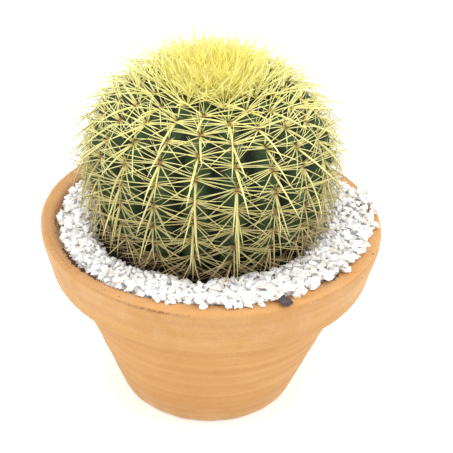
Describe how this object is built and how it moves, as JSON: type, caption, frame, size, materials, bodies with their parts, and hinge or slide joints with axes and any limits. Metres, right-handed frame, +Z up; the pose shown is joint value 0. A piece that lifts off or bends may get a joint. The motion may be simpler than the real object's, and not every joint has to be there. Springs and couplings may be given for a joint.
{
  "type": "potted barrel cactus",
  "caption": "Round ribbed barrel cactus with stiff yellow spines, planted in a tapered terracotta pot with a deep collar and a top dressing of crushed white stone.",
  "frame": {"origin": "centre of the pot's flat foot, on the surface it stands on", "axes": "+Z up along the pot's axis; +X to the right and -Y towards the viewer, the side that the bark flake lies on"},
  "size_m": [0.28, 0.28, 0.3152],
  "materials": {
    "terracotta": "unglazed, matt, pale orange clay with faint turning rings",
    "soil": "dark crumbly potting mix",
    "crushed_stone": "matt white broken faces",
    "cactus_skin": "waxy dark green skin with a faint bloom",
    "spine": "stiff straw-yellow spines, greyer with age, satin",
    "young_spine": "bright yellow young spines standing in short wool",
    "bark": "dark weathered flake"
  },
  "bodies": {
    "root": {"pot": "terracotta", "potting_soil": "soil", "gravel_bed": "crushed_stone", "rim_chip_1": "crushed_stone", "rim_chip_2": "crushed_stone", "rim_chip_3": "crushed_stone", "rim_chip_4": "crushed_stone", "rim_chip_5": "crushed_stone", "rim_chip_6": "crushed_stone", "bark_flake": "bark", "cactus_stem": "cactus_skin", "crown_spines": "young_spine", "rib_01_spines": "spine", "rib_02_spines": "spine", "rib_03_spines": "spine", "rib_04_spines": "spine", "rib_05_spines": "spine", "rib_06_spines": "spine", "rib_07_spines": "spine", "rib_08_spines": "spine", "rib_09_spines": "spine", "rib_10_spines": "spine", "rib_11_spines": "spine", "rib_12_spines": "spine", "rib_13_spines": "spine", "rib_14_spines": "spine", "rib_15_spines": "spine", "rib_16_spines": "spine", "rib_17_spines": "spine", "rib_18_spines": "spine", "rib_19_spines": "spine"}
  },
  "joints": []
}
